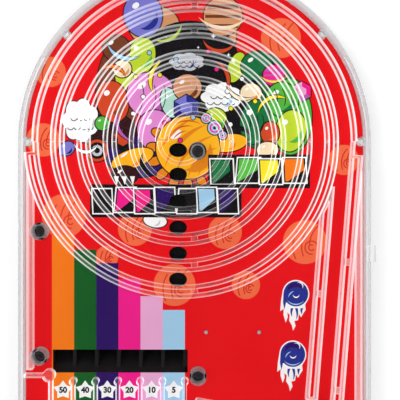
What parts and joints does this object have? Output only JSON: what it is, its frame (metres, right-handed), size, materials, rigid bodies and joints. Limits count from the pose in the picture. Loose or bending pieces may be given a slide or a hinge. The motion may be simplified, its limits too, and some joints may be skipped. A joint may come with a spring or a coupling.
{
  "type": "handheld ball game",
  "caption": "Flat clear-cased handheld ball game: a spring plunger shoots steel balls up a lane into a spiral track with drop holes and numbered score pockets.",
  "frame": {"origin": "on the rear face, under the middle of the case", "axes": "+Z out of the playfield through the clear cover, +Y up the playfield to the arch, +X to the right where the launch lane is"},
  "size_m": [0.1416, 0.2393, 0.0191],
  "materials": {
    "clear_case": "polished clear moulding",
    "clear_track": "polished clear moulding",
    "black_moulding": "satin moulded black",
    "printed_card": "gloss-printed card",
    "screw_steel": "zinc-plated",
    "bright_steel": "drawn bright steel",
    "spring_steel": "drawn wire",
    "ball_steel": "polished ball",
    "white_nylon": "moulded nylon",
    "knob_plastic": "glossy moulding"
  },
  "bodies": {
    "case": {"arch_guide": "clear_track", "card_pins": "screw_steel", "case_screws": "screw_steel", "chute_ribs": "black_moulding", "chute_tray": "black_moulding", "front_cover": "clear_case", "lane_inner_wall": "clear_track", "lane_outer_wall": "clear_track", "left_side_rib": "clear_track", "playfield_deck": "black_moulding", "plunger_bushing": "white_nylon", "plunger_housing": "clear_track", "pocket_dividers": "clear_track", "pocket_floor": "clear_track", "printed_card": "printed_card", "rear_shell": "clear_case", "return_guide": "clear_track", "right_side_rib": "clear_track", "spiral_track": "clear_track"},
    "plunger": {"plunger_rod": "bright_steel", "plunger_tip": "white_nylon", "spring_washer": "bright_steel", "stop_collar": "bright_steel", "plunger_spring": "spring_steel", "plunger_knob": "knob_plastic"},
    "ball_1": {"ball_1": "ball_steel"},
    "ball_2": {"ball_2": "ball_steel"},
    "ball_3": {"ball_3": "ball_steel"},
    "ball_4": {"ball_4": "ball_steel"},
    "ball_5": {"ball_5": "ball_steel"}
  },
  "joints": [
    {"name": "plunger_slide", "type": "slide", "parent": "case", "child": "plunger", "axis": [-0.0792, -0.9969, 0], "range_m": [0, 0.022], "stiffness_N_per_m": 80, "springref_m": -0.008, "deforming": ["plunger_spring"]},
    {"name": "ball_1_roll", "type": "slide", "parent": "case", "child": "ball_1", "axis": [0.0792, 0.9969, 0], "range_m": [0, 0.0843]},
    {"name": "ball_2_roll", "type": "slide", "parent": "case", "child": "ball_2", "axis": [0, 1, 0], "range_m": [0, 0.04]},
    {"name": "ball_3_roll", "type": "slide", "parent": "case", "child": "ball_3", "axis": [0, 1, 0], "range_m": [0, 0.04]},
    {"name": "ball_4_roll", "type": "slide", "parent": "case", "child": "ball_4", "axis": [0, 1, 0], "range_m": [0, 0.04]},
    {"name": "ball_5_roll", "type": "slide", "parent": "case", "child": "ball_5", "axis": [0, 1, 0], "range_m": [0, 0.04]}
  ]
}
